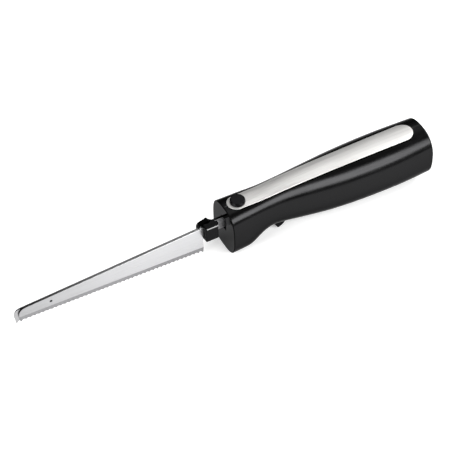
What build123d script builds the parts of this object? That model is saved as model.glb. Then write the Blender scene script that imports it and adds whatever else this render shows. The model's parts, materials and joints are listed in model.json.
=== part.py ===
from build123d import *
import math
import os

import numpy as np

os.makedirs("parts", exist_ok=True)

# ---------------------------------------------------------------------------
# Driving dimensions, millimetres.
# Working frame: x = 0 at the handle's front face, +X towards the handle's rear,
# -X towards the blade tips, +Y away from the left blade, +Z towards the strip.
# Everything is moved by ORIGIN at the end, so that the written parts have their
# origin at the middle of the underside of the whole knife's box.
# ---------------------------------------------------------------------------
HANDLE_L = 210.8            # front face to rear face
WALL = 2.4                  # housing wall

# stations along the handle: top height, bottom height, half width, squareness
ST_X = [0.0, 6.0, 12.2, 20.0, 30.6, 40.0, 51.0, 64.0, 76.5, 95.0, 112.1, 130.0, 152.9, 175.0, 190.0, 210.8]
ST_TOP = [27.9, 28.3, 28.6, 28.8, 29.1, 29.7, 30.7, 31.6, 32.1, 32.4, 32.5, 32.6, 32.7, 32.7, 32.7, 32.7]
ST_BOT = [-22.0, -22.3, -22.3, -21.3, -14.8, -10.6, -10.4, -12.9, -15.0, -17.4, -18.5, -19.1, -19.5, -19.8, -19.8, -19.5]
ST_W = [20.6, 20.1, 19.7, 19.3, 18.3, 17.65, 17.75, 18.85, 20.3, 22.4, 24.2, 25.4, 26.15, 26.1, 25.4, 24.0]
ST_N = [3.0, 2.97, 2.95, 2.93, 2.74, 2.52, 2.4, 2.31, 2.28, 2.3, 2.33, 2.36, 2.38, 2.4, 2.43, 2.46]

# top strip and release button
BUTTON_X = 14.8
BUTTON_R = 7.0
BUTTON_TOP = 31.5           # height of the button's face
BUTTON_TRAVEL = 2.5
STRIP_R_FRONT = 8.8
STRIP_R_REAR = 10.55
STRIP_X_REAR = 189.3
STRIP_X_FRONT = 13.4         # centre of the strip's front end, a little ahead of the button
STRIP_T = 0.8
STRIP_PROUD = 0.15
STRIP_GAP = 0.3

# blade drive
CRANK = 3.0                 # eccentricity, half of the blade stroke
REST = 2.0                  # left blade stands this far back at rest, right blade this far forward
BLADE_T = 1.3               # thickness of one blade
BLADE_GAP = 0.05            # half of the running gap between the two blades
TIP_X = -204.5              # neutral position of the blade tips
HEEL_X = -23.7              # neutral position of the blade heels
TIP_BOT, TIP_TOP = -11.9, 4.3
HEEL_BOT, HEEL_TOP = -18.3, 13.7
TOOTH_PITCH = 4.14
TOOTH_DEPTH = 1.9
BEVEL_H = 7.2
TANG_Z0, TANG_Z1 = 4.3, 14.6
TANG_END = 26.4
SLOT_Y = 4.7                # half width of the opening in the front face
SLOT_Z0, SLOT_Z1 = 2.0, 15.1

# gear train
AX_Z = 7.0                  # motor axis height
WHEEL_X, WHEEL_Z = 71.0, 18.3
MODULE = 0.8
TEETH = 20                  # single-start worm, so 20 motor turns to one wheel turn
WORM_R = 3.3                # worm pitch radius
SHAFT_R = 2.0

# trigger
PIV_X, PIV_Z = 46.2, -3.6
TRIG_W = 5.7                # half width of the trigger

# motor
CAN_R = 17.5
CAN_X0, CAN_X1 = 93.2, 150.0

# cord entry
GLAND_Z = 7.0
GLAND_BORE_R = 3.5
GLAND_L = 6.0

ORIGIN = (-1.8, 0.0, 22.33)

parts = {}


# ---------------------------------------------------------------------------
# helpers
# ---------------------------------------------------------------------------
def bx(x0, x1, y0, y1, z0, z1):
    return Pos((x0 + x1) / 2, (y0 + y1) / 2, (z0 + z1) / 2) * Box(abs(x1 - x0), abs(y1 - y0), abs(z1 - z0))


def cyl_x(y, z, r, x0, x1):
    return Pos((x0 + x1) / 2, y, z) * Rot(0, 90, 0) * Cylinder(r, abs(x1 - x0))


def cyl_y(x, z, r, y0, y1):
    return Pos(x, (y0 + y1) / 2, z) * Rot(90, 0, 0) * Cylinder(r, abs(y1 - y0))


def cyl_z(x, y, r, z0, z1):
    return Pos(x, y, (z0 + z1) / 2) * Cylinder(r, abs(z1 - z0))


def spline_table(xs, ys):
    """Natural cubic spline through the stations."""
    xs, ys = np.array(xs, float), np.array(ys, float)
    n = len(xs)
    h = np.diff(xs)
    a = np.zeros((n, n))
    b = np.zeros(n)
    a[0, 0] = a[-1, -1] = 1.0
    for i in range(1, n - 1):
        a[i, i - 1], a[i, i], a[i, i + 1] = h[i - 1], 2 * (h[i - 1] + h[i]), h[i]
        b[i] = 6 * ((ys[i + 1] - ys[i]) / h[i] - (ys[i] - ys[i - 1]) / h[i - 1])
    m = np.linalg.solve(a, b)

    def f(x):
        i = int(np.clip(np.searchsorted(xs, x) - 1, 0, n - 2))
        t, u = xs[i + 1] - x, x - xs[i]
        return (m[i] * t ** 3 + m[i + 1] * u ** 3) / (6 * h[i]) + (ys[i] / h[i] - m[i] * h[i] / 6) * t + (ys[i + 1] / h[i] - m[i + 1] * h[i] / 6) * u
    return f


f_top, f_bot, f_w, f_n = (spline_table(ST_X, v) for v in (ST_TOP, ST_BOT, ST_W, ST_N))


def sec(x, inset=0.0):
    top, bot, w = f_top(x) - inset, f_bot(x) + inset, f_w(x) - inset
    return (top + bot) / 2, (top - bot) / 2, w, f_n(x)


def surf_z(x, y, inset=0.0):
    zc, h, w, n = sec(x, inset)
    return zc + h * (1 - min(abs(y) / w, 1.0) ** n) ** (1 / n)


def surf_y(x, z, inset=0.0):
    zc, h, w, n = sec(x, inset)
    return w * (1 - min(abs(z - zc) / h, 1.0) ** n) ** (1 / n)


def sew_block(skin, others):
    """Solid from one curved skin and the flat faces that close it."""
    return Solid(Shell([skin] + others))


def outer_half(side):
    """Solid half of the handle's outside."""
    rows = []
    for k in range(61):
        x = HANDLE_L * k / 60
        zc, h, w, n = sec(x)
        row = []
        for i in range(25):
            t = math.pi / 2 - math.pi * i / 24
            c, s = math.cos(t), math.sin(t)
            c = 0.0 if i in (0, 24) else c
            row.append(Vector(x, side * w * abs(c) ** (2 / n), zc + h * math.copysign(abs(s) ** (2 / n), s)))
        rows.append(row)
    skin = Face.make_surface_from_array_of_points(rows, tol=0.02, min_deg=3, max_deg=5)
    es = skin.edges()
    front = [e for e in es if abs(e.center().X) < 1e-3][0]
    rear = [e for e in es if abs(e.center().X - HANDLE_L) < 1e-3][0]
    rest = sorted([e for e in es if 1 < e.center().X < HANDLE_L - 1], key=lambda e: -e.center().Z)
    chord_f, chord_r = Edge.make_line(front @ 0, front @ 1), Edge.make_line(rear @ 0, rear @ 1)
    return sew_block(skin, [Face(Wire([front, chord_f])), Face(Wire([rear, chord_r])), Face(Wire([rest[0], chord_r, rest[1], chord_f]))])


CAVITY_X = [WALL, 8.0, 12.0, 16.0, 20.0, 25.0, 31.0, 39.0, 52.0, 60.0, 68.0, 78.0, 90.0, 104.0, 122.0, 160.0, HANDLE_L - WALL]


def cavity_half(side):
    """Inside of one shell half: a row of flat-sided chambers with at least WALL around them."""
    out = []
    for a, b in zip(CAVITY_X[:-1], CAVITY_X[1:]):
        rows = [sec(a + (b - a) * k / 6, WALL) for k in range(7)]
        top = min(zc + h for zc, h, w, n in rows)
        bot = max(zc - h for zc, h, w, n in rows)
        w = min(r[2] for r in rows)
        n = min(r[3] for r in rows)
        zc, h = (top + bot) / 2, (top - bot) / 2
        pts = [Vector(a, -side * 1.0, top)]
        for i in range(10):
            t = math.pi / 2 - math.pi * i / 9
            c, q = math.cos(t), math.sin(t)
            c = 0.0 if i in (0, 9) else c
            pts.append(Vector(a, w * abs(c) ** (2 / n) * side, zc + h * math.copysign(abs(q) ** (2 / n), q)))
        pts.append(Vector(a, -side * 1.0, bot))
        f = Face(Wire.make_polygon(pts, close=True))
        out.append(extrude(f, amount=b - a, dir=(1, 0, 0)))
    return out[0].fuse(*out[1:])


def cap_body(offset):
    """Block whose upper face is the handle's top surface moved out by offset."""
    x0, x1, y1, z0 = 1.5, 206.5, 12.6, 12.0
    rows = []
    for k in range(31):
        x = x0 + (x1 - x0) * k / 30
        rows.append([Vector(x, -y1 + y1 * j / 5, surf_z(x, -y1 + y1 * j / 5, -offset)) for j in range(11)])
    skin = Face.make_surface_from_array_of_points(rows, tol=0.01, min_deg=3, max_deg=5)
    lids, low = [], []
    for e in skin.edges():
        a, b = e @ 0, e @ 1
        c, d = Vector(b.X, b.Y, z0), Vector(a.X, a.Y, z0)
        lids.append(Face(Wire([e, Edge.make_line(b, c), Edge.make_line(c, d), Edge.make_line(d, a)])))
    floor = Face(Wire.make_polygon([Vector(x0, -y1, z0), Vector(x1, -y1, z0), Vector(x1, y1, z0), Vector(x0, y1, z0)], close=True))
    return sew_block(skin, lids + [floor])


def strip_prism(grow):
    r1, r2 = STRIP_R_FRONT + grow, STRIP_R_REAR + grow
    d = STRIP_X_REAR - STRIP_X_FRONT
    s = (r2 - r1) / d
    c = math.sqrt(1 - s * s)
    p1, p2 = (STRIP_X_FRONT - r1 * s, r1 * c), (STRIP_X_REAR - r2 * s, r2 * c)
    w = Wire([
        Edge.make_line((p1[0], p1[1], 16), (p2[0], p2[1], 16)),
        Edge.make_three_point_arc((p2[0], p2[1], 16), (STRIP_X_REAR + r2, 0, 16), (p2[0], -p2[1], 16)),
        Edge.make_line((p2[0], -p2[1], 16), (p1[0], -p1[1], 16)),
        Edge.make_three_point_arc((p1[0], -p1[1], 16), (STRIP_X_FRONT - r1, 0, 16), (p1[0], p1[1], 16)),
    ])
    return extrude(Face(w), amount=30, dir=(0, 0, 1))


def coil(x, y, z0, z1, r, wire_r, turns, axis="z"):
    """Helical compression spring, axis up from z0 to z1."""
    h = z1 - z0 - 2 * wire_r
    path = Edge.make_helix(h / turns, h, r)
    prof = Plane(origin=path @ 0, z_dir=path % 0) * Circle(wire_r)
    body = sweep(prof, path=Wire([path]), is_frenet=True)
    return Pos(x, y, z0 + wire_r) * body


# ---------------------------------------------------------------------------
# housing shells
# ---------------------------------------------------------------------------
SCREWS = [(9.2, -14.4), (31.0, 22.4), (82.0, -7.2), (167.5, 21.0), (200.2, -9.2), (199.0, 22.6)]
RIBS = [(112.0, 114.0), (143.0, 145.0)]
SWITCH_PINS = (51.4, 58.2)

cap_low = cap_body(-(STRIP_T - STRIP_PROUD) - 0.02)
cap_high = cap_body(STRIP_PROUD)
pocket = strip_prism(STRIP_GAP) - cap_low

LEAD_LOW = [(-11.8, -7.3), (-9.6, -8.8)]    # where the two switch leads pass beside the motor
LEAD_PATHS = []
for s, (ly, lz) in zip((-1, 1), LEAD_LOW):
    LEAD_PATHS.append([
        (60.05, s * 1.3, -1.2), (64.0, s * 1.3, -1.2), (69.0, ly / 2, -2.4), (77.0, ly, -2.6), (85.6, ly, -2.6), (92.0, ly, lz),
        (165.2, ly, lz), (167.2, ly, lz + 1.4), (167.2, ly, -5.05),
    ])


def tube(points, r):
    radii = []
    for i in range(1, len(points) - 1):
        a, b, c = (Vector(*points[j]) for j in (i - 1, i, i + 1))
        turn = math.radians((b - a).get_angle(c - b))
        run = min((b - a).length, (c - b).length)
        radii.append(min(0.45 * run / math.tan(max(turn, 1e-3) / 2), 400.0))
    line = FilletPolyline(*points, radius=radii)
    wire = line.wire() if hasattr(line, "wire") else Wire(line.edges())
    prof = Plane(origin=wire @ 0, z_dir=wire % 0) * Circle(r)
    return sweep(prof, path=wire)


def shell(side):
    # what stands inside the shell: ribs, ledges, bosses, pins and posts
    keep = []
    for a, b in RIBS:
        rib = bx(a, b, -side * 2, side * 40, -40, 60) - cyl_x(0, AX_Z, CAN_R + 0.02, a - 1, b + 1)
        for ly, lz in LEAD_LOW:
            rib -= cyl_x(ly, lz, 1.3, a - 1, b + 1)
        keep.append(rib)
    for a, b in ((168.0, 169.6), (190.4, 192.0)):
        keep.append(bx(a, b, -side * 2, side * 40, -40, -5.0))
    keep.append(bx(36.5, 38.5, -side * 2, side * 40, -40, 60) - bx(36, 39, -10.2, 10.2, -0.9, 19.1))
    ledge = bx(6.5, 24.0, -side * 2, side * 30, 17.2, 18.7)
    ledge -= bx(11.3, 18.3, side * 6.6, side * 9.0, 16, 20)
    ledge -= cyl_z(BUTTON_X, 0, 2.4, 16, 20)
    keep.append(ledge)
    keep.append(cyl_y(PIV_X, PIV_Z, 2.4, side * 8.2, side * 30) - cyl_y(PIV_X, PIV_Z, 1.0, -11.0, 11.0))
    for px in SWITCH_PINS:
        keep.append(cyl_y(px, 0.7, 0.9, side * 0.05, side * 30))
    for sx, sz in SCREWS:
        if side < 0:
            keep.append(cyl_y(sx, sz, 3.2, -40, 2) - cyl_y(sx, sz, 1.25, -13.2, 3))
        else:
            keep.append(cyl_y(sx, sz, 4.6, -2, 40) - cyl_y(sx, sz, 1.5, -3, 7) - cyl_y(sx, sz, 3.2, 6.0, 42))
    if side < 0:
        for pz in (GLAND_Z - 7.6, GLAND_Z + 7.6):
            keep.append(cyl_y(187.0, pz, 2.5, -40, 2) - cyl_y(187.0, pz, 1.0, -6, 3))
    body = outer_half(side) - (cavity_half(side) - keep)
    if side < 0:
        for pz in (GLAND_Z - 7.6, GLAND_Z + 7.6):
            body += cyl_y(187.0, pz, 2.5, -1.0, 2.6) - cyl_y(187.0, pz, 1.0, -6, 3)
    # openings: blade slot, trigger slot, button hole, strip pocket, cord gland seat, screw heads
    body -= bx(-1, WALL + 1, -SLOT_Y, SLOT_Y, SLOT_Z0, SLOT_Z1)
    body -= bx(43.4, 65.6, -(TRIG_W + 0.4), TRIG_W + 0.4, -30, -4.6)
    body -= cyl_z(BUTTON_X, 0, BUTTON_R + 0.35, 19.5, 50)
    body -= pocket
    body -= cyl_y(PIV_X, PIV_Z, 1.0, -11.05, 11.05)
    body -= cyl_y(PIV_X, PIV_Z, 1.75, side * 5.0, side * 8.2)
    body -= cyl_x(0, GLAND_Z, 6.0, 200, 215)
    body -= cyl_x(0, GLAND_Z, 7.6, 200, HANDLE_L - WALL + 0.0)
    for sx, sz in SCREWS:
        if side > 0:
            body -= cyl_y(sx, sz, 3.2, 6.0, 42)
        else:
            body -= cyl_y(sx, sz, 1.25, -12.1, 1)
    return body


for side, name in ((-1, "housing_left"), (1, "housing_right")):
    s = shell(side)
    sol = s.solids()
    print(name, "solids", len(sol), [round(q.volume, 2) for q in sol])
    for q in sorted(sol, key=lambda q: q.volume)[:-1]:
        b = q.bounding_box()
        print("  loose", [round(v, 1) for v in (b.min.X, b.max.X, b.min.Y, b.max.Y, b.min.Z, b.max.Z)])
    parts[name] = max(sol, key=lambda q: q.volume)

strip = (strip_prism(0.0) & cap_high) - cap_body(-(STRIP_T - STRIP_PROUD))
strip -= cyl_z(BUTTON_X, 0, BUTTON_R + 0.25, 10, 50)
parts["top_strip"] = strip

# ---------------------------------------------------------------------------
# release button with its two legs, spring and blade latches
# ---------------------------------------------------------------------------
button = cyl_z(BUTTON_X, 0, BUTTON_R, 24.6, BUTTON_TOP)
button = fillet([e for e in button.edges() if abs(e.center().Z - BUTTON_TOP) < 0.01], 0.9)
button += cyl_z(BUTTON_X, 0, 8.3, 23.2, 24.7)
button -= cyl_z(BUTTON_X, 0, 5.6, 20, 28.4)
button += cyl_z(BUTTON_X, 0, 2.0, 19.4, 28.6)
for s in (-1, 1):
    button += bx(12.0, 17.6, s * 7.0, s * 8.5, 3.8, 24.0)
    button += bx(12.0, 17.6, s * 5.4, s * 8.3, 23.2, 24.8) & cyl_z(BUTTON_X, 0, 8.3, 20, 26)
parts["release_button"] = button
parts["button_spring"] = coil(BUTTON_X, 0, 18.72, 28.38, 3.9, 0.35, 5)

# ---------------------------------------------------------------------------
# blades: profile drawn at neutral, left blade then moved back, right one forward
# ---------------------------------------------------------------------------
def edge_z(x):
    t = (x - TIP_X) / (HEEL_X - TIP_X)
    return TIP_BOT + (HEEL_BOT - TIP_BOT) * t


def blade(side, dx):
    n = int(round((HEEL_X - 1.2 - (TIP_X + 1.5)) / TOOTH_PITCH))
    x0, x1 = TIP_X + 1.5, HEEL_X - 1.2
    xs = [x0 + (x1 - x0) * i / n for i in range(n + 1)]
    edges = []
    start = Vector(HEEL_X, 0, HEEL_BOT)
    # serrated edge, from the tip to the heel
    pts = [Vector(TIP_X, 0, TIP_BOT - 0.2)] + [Vector(x, 0, edge_z(x)) for x in xs] + [start]
    for i in range(len(pts) - 1):
        a, b = pts[i], pts[i + 1]
        if i == 0 or i == len(pts) - 2:
            edges.append(Edge.make_line(a, b))
        else:
            m = (a + b) * 0.5 + Vector(0, 0, TOOTH_DEPTH)
            edges.append(Edge.make_three_point_arc(a, m, b))
    # heel, tang and spine
    tang_top = TANG_Z1
    chain = [start, Vector(HEEL_X, 0, TANG_Z0), Vector(12.8, 0, TANG_Z0), Vector(12.8, 0, TANG_Z0 + 2.2),
             Vector(16.4, 0, TANG_Z0 + 2.2), Vector(16.4, 0, TANG_Z0), Vector(TANG_END - 2, 0, TANG_Z0),
             Vector(TANG_END, 0, TANG_Z0 + 2), Vector(TANG_END, 0, tang_top - 2), Vector(TANG_END - 2, 0, tang_top),
             Vector(HEEL_X + 2.5, 0, tang_top), Vector(HEEL_X, 0, HEEL_TOP)]
    for a, b in zip(chain[:-1], chain[1:]):
        edges.append(Edge.make_line(a, b))
    # spine down to the rounded nose
    a = Vector(TIP_X + 6.6, 0, TIP_TOP + 0.10)
    edges.append(Edge.make_line(chain[-1], a))
    nose = [a, Vector(TIP_X + 2.6, 0, TIP_TOP - 0.75), Vector(TIP_X + 0.3, 0, TIP_TOP - 3.1), Vector(TIP_X - 0.7, 0, -1.8), Vector(TIP_X - 0.5, 0, -6.0), Vector(TIP_X, 0, TIP_BOT - 0.2)]
    d = (a - chain[-1]).normalized()
    edges.append(Edge.make_spline(nose, tangents=[d, Vector(0.25, 0, -1).normalized()]))
    f = Face(Wire(edges))
    y_in, y_out = side * BLADE_GAP, side * (BLADE_GAP + BLADE_T)
    body = extrude(Pos(0, y_in, 0) * f, amount=BLADE_T, dir=(0, side, 0))
    # ground bevel along the edge, on the outer face
    d = Vector(HEEL_X - TIP_X, 0, HEEL_BOT - TIP_BOT).normalized()
    o = Vector(TIP_X, 0, TIP_BOT) - d * 6.0
    tri = Wire.make_polygon([
        Vector(o.X, y_out + side * 0.3, o.Z + BEVEL_H + 0.3 * BEVEL_H / (BLADE_T - 0.3)),
        Vector(o.X, y_in + side * 0.3, o.Z + TOOTH_DEPTH * 0.0),
        Vector(o.X, y_in + side * 0.22, o.Z - 3.0),
        Vector(o.X, y_out + side * 3.0, o.Z - 3.0)], close=True)
    L = (HEEL_X - TIP_X) / d.X + 5.5
    body -= extrude(Face(tri), amount=L, dir=tuple(d))
    return Pos(dx, 0, 0) * body


RIVET_X, RIVET_Z = -174.5, -0.1
bl = blade(-1, REST)
br = blade(1, -REST)
rx = RIVET_X + REST
bl -= cyl_y(rx, RIVET_Z, 1.1, -3, 0.5)
# long hole in the right blade in which the rivet's shank runs, with its wide end for assembly
far_slot = bx(rx - 10.0, rx + 2.0, 0, 3, RIVET_Z - 1.35, RIVET_Z + 1.35)
far_slot += cyl_y(rx - 10.0, RIVET_Z, 1.35, 0, 3) + cyl_y(rx + 2.0, RIVET_Z, 1.35, 0, 3)
far_slot += cyl_y(rx - 13.4, RIVET_Z, 2.5, 0, 3)
br -= far_slot
parts["blade_left"] = bl
parts["blade_right"] = br
rivet = cyl_y(rx, RIVET_Z, 1.1, -(BLADE_GAP + BLADE_T), 1.75) + cyl_y(rx, RIVET_Z, 2.2, 1.5, 2.1)
parts["tip_rivet"] = rivet

# ---------------------------------------------------------------------------
# moulded collars at the blade heels (drawn at rest)
# ---------------------------------------------------------------------------
cx = HEEL_X + REST
prof = Face(Wire.make_polygon([Vector(0, -8.1, 1.4), Vector(0, -7.3, 0.7), Vector(0, -0.2, -0.4), Vector(0, -0.2, 17.0), Vector(0, -7.5, 17.0), Vector(0, -8.1, 16.4)], close=True))
collar_l = extrude(Pos(cx, 0, 0) * prof, amount=12.4, dir=(1, 0, 0))
collar_l = fillet([e for e in collar_l.edges() if abs(e.center().X - cx) < 0.01 and e.center().Y < -0.5], 0.7)
collar_l -= bx(cx + 2.6, cx + 10.6, -9, -7.75, 5.4, 13.6)
collar_l += bx(cx + 12.3, cx + 14.8, -3.3, -0.2, 3.6, 15.4)
clip = bx(cx + 0.9, cx + 12.4, -8.1, -7.25, 16.35, 17.0) & extrude(Pos(cx, 0, 0) * prof, amount=12.4, dir=(1, 0, 0))
collar_l -= bx(cx + 0.9, cx + 12.5, -8.3, -7.25, 16.35, 17.2)
cutter = bx(cx - 5, cx + 30, -(BLADE_GAP + BLADE_T), -0.02, TANG_Z0, TANG_Z1)
heel_cut = bx(cx - 5, cx + 2.5, -(BLADE_GAP + BLADE_T), -0.02, -30, TANG_Z1)
wedge = bl
collar_l -= wedge
parts["collar_left"] = max(collar_l.solids(), key=lambda q: q.volume)
parts["collar_clip"] = clip

cx = HEEL_X - REST
side_pts = [(cx, 1.6), (cx, 13.2), (cx + 1.1, 15.9), (cx + 3.4, 17.0), (cx + 8.6, 18.3), (cx + 9.4, 19.2), (cx + 10.9, 18.6), (cx + 13.4, 13.9),
            (cx + 15.5, 13.9), (cx + 15.5, 1.6)]
f = Face(Wire.make_polygon([Vector(a, 0.2, b) for a, b in side_pts], close=True))
collar_r = extrude(f, amount=5.1, dir=(0, 1, 0))
collar_r = fillet([e for e in collar_r.edges() if abs(e.center().Y - 5.3) < 0.01 and e.center().X < cx + 12], 0.5)
collar_r += bx(cx + 15.0, 4.6, 0.2, 4.3, 4.0, 13.9)
collar_r -= br
parts["collar_right"] = max(collar_r.solids(), key=lambda q: q.volume)


# ---------------------------------------------------------------------------
# blade carriers with scotch yokes, and their latch springs
# ---------------------------------------------------------------------------
def carrier(side, dx):
    b = bx(6.5, 52.0, side * 0.45, side * 6.4, 3.4, 15.6)
    b -= bx(6.0, 27.0, 0, side * 1.6, 4.0, 14.9)
    b -= bx(12.2, 17.0, 0, side * 7, 3.0, 4.2)
    # lightening pocket on the outer face
    b -= bx(30.0, 36.0, side * 4.9, side * 7, 6.2, 12.8)
    # shoulder out to the yoke plate
    b += bx(47.0, 52.0, side * 5.0, side * 9.0, 5.0, 15.0)
    b += bx(47.0, 66.0, side * 7.0, side * 9.0, 8.8, 15.0)
    # forked yoke, open at the top
    yoke = bx(WHEEL_X - 6.8, WHEEL_X + 6.8, side * 7.0, side * 9.0, WHEEL_Z - 9.6, WHEEL_Z + 6.0)
    yoke = fillet([e for e in yoke.edges().filter_by(Axis.Y)], 0.9)
    b += yoke
    b -= bx(WHEEL_X - 4.8, WHEEL_X + 4.8, side * 6, side * 10, WHEEL_Z - 7.8, WHEEL_Z + 9.0)
    return Pos(dx, 0, 0) * b


parts["carrier_left"] = carrier(-1, REST)
cr = carrier(1, -REST)
cr -= bx(3.0, 8.0, 0, 4.6, 3.7, 14.2)
parts["carrier_right"] = cr


def latch(side, dx):
    b = bx(9.0, 32.8, side * 0.7, side * 6.2, 2.85, 3.35)
    b += bx(9.8, 19.8, side * 6.0, side * 8.6, 2.85, 3.35)
    b += bx(13.4, 15.6, side * 0.4, side * 1.5, 3.2, 5.4)
    b += bx(13.4, 13.9, side * 0.4, side * 5.0, 3.2, 4.0)
    b -= cyl_z(31.0, side * 3.4, 0.8, 2, 4)
    return Pos(dx, 0, 0) * b


parts["latch_spring_left"] = latch(-1, REST)
parts["latch_spring_right"] = latch(1, -REST)
rv = []
for s, dx in ((-1, REST), (1, -REST)):
    r = cyl_z(31.0 + dx, s * 3.4, 0.8, 2.85, 5.0) + cyl_z(31.0 + dx, s * 3.4, 1.3, 2.3, 2.85)
    rv.append(r)
    key = "carrier_left" if s < 0 else "carrier_right"
    parts[key] -= cyl_z(31.0 + dx, s * 3.4, 0.8, 2.0, 5.0)
parts["latch_rivet_left"], parts["latch_rivet_right"] = rv

# ring that guides both carriers
guide = bx(36.5, 43.5, -10.2, 10.2, -0.9, 19.1) - bx(36, 44, -6.6, 6.6, 3.2, 15.8)
parts["front_guide"] = guide

# ---------------------------------------------------------------------------
# drive frame, axle, worm wheel with two eccentrics
# ---------------------------------------------------------------------------
frame_b = bx(64.0, 92.8, -12.0, 12.0, 0.0, 2.0)
for s in (-1, 1):
    frame_b += bx(62.0, 92.8, s * 9.4, s * 12.0, 0.0, 23.0)
frame_b += bx(90.0, 92.8, -14.6, 14.6, -6.0, 23.0)
frame_b -= cyl_x(0, AX_Z, 5.7, 89, 94)
frame_b += bx(57.6, 62.0, -6.4, 6.4, 2.4, 3.2) + bx(60.4, 62.2, -6.4, 6.4, 0.0, 3.2) + bx(60.4, 64.5, -6.4, 6.4, 0.0, 2.0)
frame_b += cyl_x(0, AX_Z, 4.9, 57.6, 60.8) + bx(57.6, 60.8, -4.9, 4.9, 2.4, AX_Z)
frame_b -= cyl_x(0, AX_Z, 3.6, 57, 61)
frame_b -= cyl_y(WHEEL_X, WHEEL_Z, 1.5, -14, 14)
for s in (-1, 1):
    frame_b -= cyl_x(s * 11.0, AX_Z, 1.5, 89, 94)
    frame_b -= cyl_x(s * 11.0, AX_Z, 2.9, 84, 90)
# notch for the switch leads
frame_b -= bx(89.0, 94.0, -13.6, -8.0, -7.0, -4.2)
parts["drive_frame"] = frame_b
parts["wheel_axle"] = cyl_y(WHEEL_X, WHEEL_Z, 1.5, -12.6, 12.6)

PR = MODULE * TEETH / 2
TIP = PR + 0.66
ROOT = PR - 0.95
FACE_W = 4.4


def gear_face():
    pts = []
    for i in range(TEETH):
        a0 = -math.pi / 2 + 2 * math.pi * i / TEETH
        for r, half in ((ROOT, -0.82), (TIP, -0.26), (TIP, 0.26), (ROOT, 0.82)):
            pts.append((r, a0 + half / r))
    return Face(Wire.make_polygon([Vector(r * math.cos(a), r * math.sin(a), 0) for r, a in pts], close=True))


wheel = extrude(Pos(0, 0, -FACE_W / 2) * gear_face(), amount=FACE_W)
wheel = wheel + Cylinder(3.4, 9.2) - Cylinder(1.55, 20)
# lay the wheel's axis along Y
wheel = Pos(WHEEL_X, 0, WHEEL_Z) * Rot(90, 0, 0) * wheel
parts["worm_wheel"] = wheel
# at rest the left yoke stands REST behind the axle and the right one REST in front
ez = math.sqrt(CRANK ** 2 - REST ** 2)
for s, name, ex, ezz in ((-1, "eccentric_left", REST, ez), (1, "eccentric_right", -REST, -ez)):
    e = cyl_y(WHEEL_X + ex, WHEEL_Z + ezz, 4.7, s * 4.6, s * 6.7)
    e -= cyl_y(WHEEL_X, WHEEL_Z, 1.55, -10, 10)
    parts[name] = e

# ---------------------------------------------------------------------------
# worm and motor
# ---------------------------------------------------------------------------
LEAD = math.pi * MODULE
WX0, WX1 = 62.6, 79.4


def worm_face():
    pts = []
    n = 30
    for i in range(n):
        p = i / n
        u = abs((p + 0.5) % 1.0 - 0.5) * LEAD      # axial distance from the middle of the thread
        if u < 0.22:
            r = WORM_R + 0.62
        elif u < 0.78:
            r = WORM_R + 0.62 - (u - 0.22) / 0.56 * 1.5
        else:
            r = WORM_R - 0.88
        a = 2 * math.pi * p
        pts.append(Vector(r * math.cos(a), r * math.sin(a), 0))
    return Face(Wire([Edge.make_spline(pts, periodic=True)]))


# the thread's middle meets the plane through the wheel at half a pitch from its centre
turns = (WX1 - WX0) / LEAD
wf = worm_face()
worm = Solid.extrude_linear_with_rotation(wf, (0, 0, 0), (0, 0, WX1 - WX0), 360 * turns)
worm -= Cylinder(SHAFT_R, 100)
# section angle 0 is turned so that, at the wheel's x, the thread's valley faces up to the wheel
phase = 360 * (WHEEL_X - WX0) / LEAD
worm_axis = Plane(origin=(WX0, 0, AX_Z), x_dir=(0, 0, 1), z_dir=(1, 0, 0))
worm = worm_axis.location * (Rot(0, 0, 180 - phase) * worm)
parts["worm"] = worm
parts["motor_shaft"] = cyl_x(0, AX_Z, SHAFT_R, 57.0, 163.0)
ring = cyl_x(0, AX_Z, 3.6, 57.6, 60.8) - cyl_x(0, AX_Z, SHAFT_R + 0.05, 57, 62)
parts["front_bush"] = ring

can = cyl_x(0, AX_Z, CAN_R, CAN_X0, CAN_X1) + cyl_x(0, AX_Z, 5.6, 90.2, CAN_X0 + 0.5)
can -= cyl_x(0, AX_Z, CAN_R - 1.2, CAN_X0 + 1.4, CAN_X1 + 1)
can += cyl_x(0, AX_Z, 5.6, CAN_X0, CAN_X0 + 3.2)
can -= cyl_x(0, AX_Z, 4.4, 90.2 + 1.0, CAN_X0 + 5)
can -= cyl_x(0, AX_Z, 2.6, 88, 96)
for s in (-1, 1):
    can -= cyl_x(s * 11.0, AX_Z, 1.5, 92, 96)
parts["motor_can"] = can
b1 = cyl_x(0, AX_Z, 4.4, 91.2, 96.4) - cyl_x(0, AX_Z, SHAFT_R + 0.05, 90, 98)
b2 = cyl_x(0, AX_Z, 4.0, 157.6, 162.0) - cyl_x(0, AX_Z, SHAFT_R + 0.05, 156, 164)
parts["motor_bushes"] = Compound([b1.solid(), b2.solid()])
scr = []
for s in (-1, 1):
    m = cyl_x(s * 11.0, AX_Z, 1.5, 90.0, 97.0) + cyl_x(s * 11.0, AX_Z, 2.7, 88.2, 90.0)
    m -= bx(88.0, 88.9, s * 11.0 - 2.0, s * 11.0 + 2.0, AX_Z - 0.35, AX_Z + 0.35) + bx(88.0, 88.9, s * 11.0 - 0.35, s * 11.0 + 0.35, AX_Z - 2.0, AX_Z + 2.0)
    scr.append(m.solid())
parts["motor_screws"] = Compound(scr)

mag = cyl_x(0, AX_Z, CAN_R - 1.2, 102, 142) - cyl_x(0, AX_Z, 12.3, 100, 144)
mags = []
for s in (-1, 1):
    # each magnet spans 120 degrees, one on the left and one on the right
    a = math.radians(60)
    w = Face(Wire.make_polygon([Vector(101, 0, AX_Z), Vector(101, s * 40 * math.cos(a), AX_Z + 40 * math.sin(a)), Vector(101, s * 60, AX_Z), Vector(101, s * 40 * math.cos(a), AX_Z - 40 * math.sin(a))], close=True))
    mags.append((mag & extrude(w, amount=42, dir=(1, 0, 0))).solid())
parts["motor_magnets"] = Compound(mags)

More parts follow.
